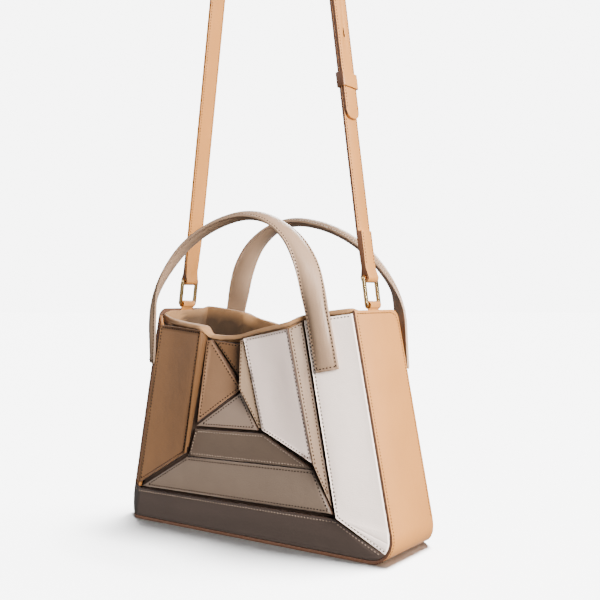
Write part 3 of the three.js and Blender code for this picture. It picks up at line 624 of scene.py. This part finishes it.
def grown(point, ring, outward, amount):
    """How far a corner moves so that both of its sides move outwards by the amount."""
    def off(corner):
        away = corner - point
        return (away - outward * away.dot(outward)).length

    i = min(range(len(ring)), key=lambda k: off(ring[k]))
    flat = [ring[k] - outward * ring[k].dot(outward) for k in (i - 1, i, (i + 1) % len(ring))]
    before, after = (flat[1] - flat[0]).normalized(), (flat[2] - flat[1]).normalized()
    apart = before.cross(outward) + after.cross(outward)
    full = amount / max(sharpest_corner, apart.length / 2)
    return apart.normalized() * min(amount * longest_move, full)


def relax_depth(passes):
    """Smooths the chosen corners along Y only, so that the outline keeps its shape."""
    bpy.ops.mesh.vertices_smooth(factor=0.5, repeat=passes, xaxis=False, yaxis=True, zaxis=False)


def raised(point, ring, ends, outward, crown, curl):
    """How far a point of a face moves: out by the crown, and in by the curl between its ends."""
    rise = 1 - math.exp(-edge_distance(point, ring, outward) / crown_run)
    move = outward * crown * MM * rise
    if curl:
        a, b = (edge_distance(point, end, outward) for end in ends)
        across = a / (a + b)
        move -= outward * curl * MM * 4 * across * (1 - across) * rise
    return move


def panel(
    node, material, slot, outward,
    round_off=0.5, net=5.0, crown=0.4, curl=0, wall=edge_paint, reach=0.45,
):
    """A padded panel. Its edge's radius, net, crown, curl and extra reach are in millimetres."""
    piece = copied(node, node + "_leather", material)
    piece.data.materials.append(wall)
    mesh = edit(piece)
    for face in mesh.faces:
        face.material_index = 0 if face.normal.dot(outward) > leather_limit else 1
    front = facing(mesh, outward)
    ring = outline_of(front)
    moves = [(vertex, grown(vertex.co, ring, outward, reach * MM)) for vertex in mesh.verts]
    for vertex, move in moves:
        vertex.co += move
    ring = outline_of(front)
    sides = list(zip(ring, ring[1:] + ring[:1]))
    sides.sort(key=lambda side: (side[0] + side[1]).x * -outward.y)
    ends = (sides[0], sides[-1])
    for face in front:
        face.select = True
    bpy.ops.mesh.region_to_loop()
    bpy.ops.mesh.bevel(offset=round_off * MM, segments=3, affect="EDGES")
    mesh = bmesh.from_edit_mesh(piece.data)
    bpy.ops.mesh.select_mode(type="FACE")
    bpy.ops.mesh.select_all(action="DESELECT")
    inner = [
        face for face in facing(mesh, outward)
        if edge_distance(face.calc_center_median(), ring, outward) > round_off * MM * 0.9
    ]
    for face in inner:
        face.select = True
    if inner:
        longest = max(edge.calc_length() for face in inner for edge in face.edges)
        bpy.ops.mesh.subdivide(number_cuts=max(2, int(longest / (net * MM))))
        bpy.ops.mesh.select_less()
        bpy.ops.mesh.select_mode(type="VERT")
        relax_depth(net_smoothing)
        mesh = bmesh.from_edit_mesh(piece.data)
        for vertex in mesh.verts:
            if vertex.select:
                vertex.co += raised(vertex.co, ring, ends, outward, crown, curl)
        bmesh.update_edit_mesh(piece.data)
        relax_depth(crown_smoothing)
    bpy.ops.mesh.select_mode(type="FACE")
    close(piece)
    finish_piece(piece, slot, node)
    return piece, ring


def inside(point, ring):
    """Whether a point lies within an outline, by counting crossings along X."""
    crossings = 0
    for a, b in zip(ring, ring[1:] + ring[:1]):
        if (a.z > point.z) != (b.z > point.z):
            x = a.x + (point.z - a.z) / (b.z - a.z) * (b.x - a.x)
            crossings += x > point.x
    return crossings % 2 == 1


def seam_lines(ring, inset, outward, keep):
    """Paths inside an outline at a fixed distance from it, one for each side that is kept."""
    lines = []
    for a, b in zip(ring, ring[1:] + ring[:1]):
        along = (b - a).normalized()
        inward = outward.cross(along).normalized()
        steps = max(2, int((b - a).length / seam_step))
        run = [a.lerp(b, k / steps) + inward * inset for k in range(steps + 1)]
        run = [
            p for p in run
            if inside(p, ring) and edge_distance(p, ring, outward) > inset * seam_slack
        ]
        if len(run) > 3 and keep((a + b) / 2, (b - a).length):
            lines.append([(run[0], outward), (run[-1], outward)])
    return lines


panel_finish = {
    "tall_panel": (brown_leather, "brown_leather", brown_thread),
    "kite_panel": (camel_leather, "camel_leather", brown_thread),
    "small_triangle": (triangle_painted_shade, "brown_leather", brown_thread),
    "inner_strip": (sand_leather, "sand_leather", sand_thread),
    "inner_white": (pearl_leather, "pearl_leather", grey_thread),
    "outer_strip": (outer_sand_painted_shade, "sand_leather", sand_thread),
    "outer_white": (white_leather, "white_leather", grey_thread),
    "step_triangle": (step_painted_light, "taupe_leather", taupe_thread),
    "riser": (riser_painted_light, "dark_taupe_leather", ash_thread),
    "tread": (taupe_leather, "taupe_leather", taupe_thread),
}
facing_out = {"front": Vector((0, -1, 0)), "back": Vector((0, 1, 0))}
# These differ from panel's own values, and are in millimetres too.
curls = {"tall_panel": 2.4, "inner_white": 2.0, "kite_panel": 0.6}
reaches = {"tread": 1.0, "riser": 0.8, "step_triangle": 0.8, "tall_panel": 0.6, "kite_panel": 0.6}
crowns = {"outer_white": 0.25, "inner_white": 0.6, "tall_panel": 0.6, "riser": 0.8, "tread": 0.7}
narrow_panels = ("inner_strip", "outer_strip", "small_triangle")
# The outer white panel has no seam on its short sides, nor high up where it meets the gusset.
short_side, gusset_side, low_side = 20 * MM, 115 * MM, 40 * MM


def sewn(piece, name, lines, stitching, slot, pitch=panel_pitch):
    """Stitches along some lines of a piece, and how many there are."""
    surface = surface_of(piece)
    places = []
    for line in lines:
        places += row_places(surface, line, pitch)
    if places:
        stitches(name, places, stitching, slot)
    return len(places)


for side, outward in facing_out.items():
    for name, (material, slot, stitching) in panel_finish.items():
        piece, ring = panel(
            f"{side}_{name}", material, slot, outward,
            crown=crowns.get(name, 0.4), curl=curls.get(name, 0),
            wall=caramel_leather if name == "tall_panel" else edge_paint,
            reach=reaches.get(name, 0.45),
        )

        def keep(middle, length):
            if name != "outer_white":
                return True
            low = middle.z < base_level + low_side
            return length > short_side and (low or middle.x * -outward.y < gusset_side)

        inset = narrow_inset if name in narrow_panels else seam_inset
        lines = seam_lines(ring, inset, outward, keep)
        count = sewn(piece, f"{side}_{name}_stitches", lines, stitching, slot)
        print(side, name, len(piece.data.polygons), "faces,", count, "stitches")

# %% [markdown]
# The bottom band is a panel with a rounder face and edge. The corner panel and the fold wall turn
# over a crease, so they are not relaxed: their creases and edges are only bevelled, which gives
# leather its small round turn.

# %% Bottom bands and folded panels
long_side, low_seam = 15 * MM, 12 * MM


def bevelled(piece, width, angle, segments=3):
    """Rounds every edge sharper than the angle by a width in millimetres."""
    apply_modifier(
        piece, "BEVEL", width=width * MM, segments=segments,
        limit_method="ANGLE", angle_limit=math.radians(angle),
    )


def long_and_high(middle, length):
    return length > long_side and middle.z > base_level + low_seam


for side, outward in facing_out.items():
    band, ring = panel(
        f"{side}_bottom_band", dark_taupe_leather, "dark_taupe_leather", outward,
        round_off=0.8, crown=1.3, reach=0.2,
    )
    lines = seam_lines(ring, seam_inset, outward, long_and_high)
    sewn(band, f"{side}_bottom_band_stitches", lines, ash_thread, "dark_taupe_leather")

    node = f"{side}_corner_panel"
    corner = copied(node, node + "_leather", corner_painted_light)
    mesh = edit(corner)
    ring = outline_of(facing(mesh, outward))
    bpy.ops.object.mode_set(mode="OBJECT")
    bevelled(corner, 0.6, 20)
    finish_piece(corner, "caramel_leather", node)
    lines = seam_lines(ring, seam_inset, outward, long_and_high)
    sewn(corner, node + "_stitches", lines, caramel_thread, "caramel_leather")

    fold = copied(f"{side}_fold_wall", f"{side}_fold_wall_leather", caramel_leather)
    bevelled(fold, 0.9, 20)
    finish_piece(fold, "caramel_leather", f"{side}_fold_wall")

# %% [markdown]
# The gusset is one tan strip that runs up both sides and round under the base, with thin rims of
# cut leather where it meets the front and back. A bevel rounds those rims, and they and the faces
# inside have the rim's own brown.

# %% Gusset
inside_floor = 30 * MM
rim_lean = 0.12
gusset = copied("gusset_band", "gusset_leather", tan_leather)
bevelled(gusset, 0.7, 28)
gusset.data.materials.append(rim_edge)
for polygon in gusset.data.polygons:
    normal, middle = polygon.normal, polygon.center
    floor = normal.z > 0.5 and middle.z < base_level + inside_floor
    rim = abs(normal.y) > rim_lean
    polygon.material_index = 1 if middle.x * normal.x < 0 or floor or rim else 0
finish_piece(gusset, "tan_leather", "gusset_band")

slope = math.atan(side_shift / body_height)
corner_radius = base_corner * MM
arc_middle = half_base * MM - corner_radius * side_shift / body_height
arc_middle -= corner_radius / math.cos(slope)
# Where the gusset's seams run, in millimetres: Y near the front and back rims, heights above the
# base, and how far the seam under the base reaches.
front_y, back_y, tab_y = -38.6, 24, 15.5
seam_foot, seam_top = 26, 190.6
under_reach = 118
arc_steps = 6
gusset_pitch = 2.5 * MM


def turned(path):
    """The same path on the other side of the bag, half a turn about the vertical."""
    return [(Vector((-p.x, -p.y, p.z)), Vector((-n.x, -n.y, n.z))) for p, n in path]


def side_height(z, y):
    """A point on the right side at a height and depth in millimetres, and its outward way."""
    outward = Vector((math.cos(slope), 0, math.sin(slope)))
    x = half_base - side_shift / body_height * z
    return Vector((x * MM, y * MM, base_level + z * MM)), outward


def side_arc(y):
    """Points round the right lower corner, from the side to the base."""
    for k in range(arc_steps + 1):
        angle = slope - (slope + math.pi / 2) * k / arc_steps
        outward = Vector((math.cos(angle), 0, math.sin(angle)))
        middle = Vector((arc_middle, y * MM, base_level + corner_radius))
        yield middle + outward * corner_radius, outward


under_front = [
    (Vector((x * MM, front_y * MM, base_level)), Vector((0, 0, -1)))
    for x in (under_reach, -under_reach)
]
front_seam = [
    side_height(seam_top, tab_y), side_height(seam_top, front_y), side_height(seam_foot, front_y),
    *side_arc(front_y), *under_front,
]
back_seam = [
    side_height(seam_foot, back_y), side_height(183, back_y), side_height(188.5, 21.5),
    side_height(seam_top, tab_y),
]
gusset_lines = (front_seam, back_seam, turned(front_seam), turned(back_seam))
count = sewn(gusset, "gusset_stitches", gusset_lines, tan_thread, "tan_leather", gusset_pitch)
print("gusset stitches:", count)

# %% [markdown]
# The lining is a soft suede cup whose rolled lip lies over the tops of the panels. Two levels of
# subdivision melt the CAD cup's facets into folds, and its outer side, which only shows through
# the gaps between panels, gets the dark backing, whose colour is partly painted shade in the gaps.
# The suede is painted paler on the lip, as painted light, and darker down inside, as painted
# shade, with the change running down to a little under the panels' tops.

# %% Lining
# Where the tops of the front panels lie, as (across, height) in millimetres from left to right.
panel_tops = [
    (-105, 181), (-66, 176), (-48, 175), (-39, 173), (-36, 166), (-2, 165),
    (3, 167), (52, 177), (61, 183), (66, 185), (109, 190),
]
lip_light_below, lip_light_height = 6, 9
end_weight = 0.35


def panel_top(x):
    x = min(max(x / MM, panel_tops[0][0]), panel_tops[-1][0] - 0.01)
    for (x0, z0), (x1, z1) in zip(panel_tops, panel_tops[1:]):
        if x < x1:
            return base_level + (z0 + (z1 - z0) * (x - x0) / (x1 - x0)) * MM
    return rim_level


lining = copied("lining", "lining_suede_cup", lining_suede)
lining.data.materials.append(backing_and_gap_shade)
edit(lining)
bpy.ops.mesh.select_mode(type="EDGE")
bpy.ops.mesh.edges_select_sharp(sharpness=math.radians(24))
bpy.ops.transform.edge_crease(value=0.45)
bpy.ops.object.mode_set(mode="OBJECT")
apply_modifier(lining, "SUBSURF", levels=2, render_levels=2)
# Below the panels' tops the lining's outside gets the dark backing, which shows only in the gaps
# between panels: partly a real backing, partly painted shade.
for polygon in lining.data.polygons:
    middle = polygon.center
    front_x = middle.x if middle.y < 0 else -middle.x
    away = Vector((middle.x * end_weight, middle.y, 0))
    if polygon.normal.dot(away) > 0 and middle.z < panel_top(front_x) - 0.5 * MM:
        polygon.material_index = 1
# This value paints the lip lighter, as painted light, and the suede further down darker, as
# painted shade.
painted_lip_light = lining.data.attributes.new("painted_lip_light", "FLOAT", "POINT")
for vertex in lining.data.vertices:
    front_x = vertex.co.x if vertex.co.y < 0 else -vertex.co.x
    height = (vertex.co.z - panel_top(front_x)) / MM
    painted_lip_light.data[vertex.index].value = min(1, max(0, (height + lip_light_below) / lip_light_height))
finish_piece(lining, "suede", "lining")

# %% [markdown]
# Each handle is a padded tube between two flat sewn flanges, which twists from lying on the panel
# to standing on edge at the top. The CAD band already has that twist, and two levels of
# subdivision round its crown. Its stitches run along both flanges and across both feet.

# %% Handles
foot_seam = 2.4 * MM
flange_inset = 1.5
handle_stitch_width = 0.001
fewest_corners = 30


def long_edges(mesh):
    """The four sharp lines that run the length of a handle: both edges of both flanges."""
    limit = math.radians(55)
    sharp = [e for e in mesh.edges if len(e.link_faces) == 2 and e.calc_face_angle() > limit]
    at_vertex = {}
    for e in sharp:
        for v in e.verts:
            at_vertex.setdefault(v, []).append(e)
    lines, used = [], set()
    for start in [v for v, found in at_vertex.items() if len(found) > 2]:
        for first in at_vertex[start]:
            chain, edge, vertex = [start], first, start
            while True:
                vertex = edge.other_vert(vertex)
                chain.append(vertex)
                following = [e for e in at_vertex[vertex] if e is not edge]
                if len(at_vertex[vertex]) != 2:
                    break
                edge = following[0]
            if len(chain) > fewest_corners and edge not in used and first not in used:
                used.update((edge, first))
                lines.append([v.co.copy() for v in chain])
    lines = [line if line[0].x < line[-1].x else line[::-1] for line in lines]
    return sorted(lines, key=lambda line: -max(p.z for p in line))


for side in ("front", "back"):
    node = f"handle_{side}"
    handle = copied(node, node + "_leather", handle_leather)
    mesh = edit(handle)
    lines = long_edges(mesh)
    print(node, "long edges:", [len(line) for line in lines])
    bpy.ops.mesh.select_mode(type="EDGE")
    bpy.ops.mesh.edges_select_sharp(sharpness=math.radians(27))
    bpy.ops.transform.edge_crease(value=0.75)
    bpy.ops.object.mode_set(mode="OBJECT")
    apply_modifier(handle, "SUBSURF", levels=2, render_levels=2)
    finish_piece(handle, "handle_leather", node, angle=50)
    surface = surface_of(handle)
    places, feet = [], []
    outer, inner = lines[:2], lines[2:]
    for k, line in enumerate(outer):
        other = outer[1 - k]
        below = min(inner, key=lambda candidate: (candidate[0] - line[0]).length)
        path = []
        for p, q, r in zip(line, other, below):
            path.append((p + (q - p).normalized() * flange_inset * MM, (p - r).normalized()))
        for end, inner_end in ((0, 1), (-1, -2)):
            step = (path[inner_end][0] - path[end][0]).normalized() * foot_seam
            path[end] = (path[end][0] + step, path[inner_end][1])
        feet.append((path[0], path[-1]))
        places += row_places(surface, path, panel_pitch)
    for end in (0, 1):
        places += row_places(surface, [feet[0][end], feet[1][end]], panel_pitch)
    stitches(node + "_stitches", places, handle_thread, "handle_leather", handle_stitch_width)
    print(node, "stitches:", len(places))

# %% [markdown]
# The strap is a flat band of edge-painted tan leather with a fine row of stitches near each edge.
# Its edges are bevelled so little that they stay crisp. The rows follow the strap's own path: a
# leaning run from each ring, then half of a round arch.

# %% Strap, tabs and metal
ring_across, ring_height = 106.5 * MM, 196.9 * MM
bar_span = 22.2 * MM
strap_drop = 500 * MM
arch_radius = 38 * MM
ring_forward = -7.25 * MM
arch_steps = 8
pivot = Vector((ring_across, 0, base_level + ring_height))
arch_middle = Vector((0, 0, pivot.z + bar_span + strap_drop - arch_radius))
to_middle = arch_middle - pivot
lean = math.atan2(-to_middle.x, to_middle.z) - math.asin(arch_radius / to_middle.length)
along_run = Vector((-math.sin(lean), 0, math.cos(lean)))
out_of_run = Vector((along_run.z, 0, -along_run.x))
run_foot = pivot + along_run * bar_span
run_length = (arch_middle + out_of_run * arch_radius - run_foot).length
shear = ring_forward / run_foot.x
print("strap run:", round(run_length, 3), "m, leaning", round(math.degrees(lean), 2), "degrees")


def strap_row(start, end, y, sign, outside):
    """A path up a run of the strap, or on round its arch, on its outer or inner face."""
    path = []
    for distance in (start, end):
        p = run_foot + along_run * distance
        path.append((p, out_of_run * outside))
    if end >= run_length:
        for k in range(1, arch_steps + 1):
            angle = lean + (math.pi / 2 - lean) * k / arch_steps
            way = Vector((math.cos(angle), 0, math.sin(angle)))
            path.append((arch_middle + way * arch_radius, way * outside))
    return [
        (Vector((p.x * sign, y + shear * p.x * sign, p.z)), Vector((n.x * sign, 0, n.z)))
        for p, n in path
    ]


# Where the rows start and end, measured up the run from the ring, and how far they are from the
# strap's middle. The long strap's right end starts over the short one, and the patch is the short
# doubled end that holds each ring.
row_edge, patch_edge = 7.8 * MM, 6.1 * MM
row_start, overlap_start, overlap_end, short_end = 40 * MM, 139 * MM, 130 * MM, 340 * MM
patch_start, patch_end = 11 * MM, 36 * MM
strap_pitch = 2.6 * MM
strap_stitch_width = 0.0008
both_edges = (-row_edge, row_edge)
strap_rows = {
    "strap_long": [
        strap_row(start, run_length, y, sign, outside)
        for y in both_edges
        for sign, start in ((-1, row_start), (1, overlap_start))
        for outside in (1, -1)
    ],
    "strap_short": [strap_row(row_start, short_end, y, 1, -1) for y in both_edges]
    + [strap_row(row_start, overlap_end, y, 1, 1) for y in both_edges],
}
for node, sign in (("strap_long", -1), ("strap_short", 1)):
    for y in (-patch_edge, patch_edge):
        strap_rows[node].append(strap_row(patch_start, patch_end, y, sign, 1))
for node in ("strap_long", "strap_short", "strap_keeper", "ring_tab_right", "ring_tab_left"):
    piece = copied(node, node + "_leather", tan_leather)
    bevelled(piece, 0.45, 40, segments=2)
    piece.data.materials.append(strap_edge)
    for polygon in piece.data.polygons:
        on_edge = abs(polygon.normal.y) > 0.7
        polygon.material_index = 1 if on_edge and node.startswith("strap") else 0
    finish_piece(piece, "tan_leather", node)
    surface = surface_of(piece)
    places = []
    for path in strap_rows.get(node, ()):
        places += row_places(surface, path, strap_pitch)
    if places:
        stitches(node + "_stitches", places, tan_thread, "tan_leather", strap_stitch_width)
        print(node, "stitches:", len(places))

for node in ("ring_right", "ring_left", "strap_stud"):
    piece = copied(node, node + "_metal", gold)
    bevelled(piece, 0.5, 30)
    finish_piece(piece, "gold_metal", node)
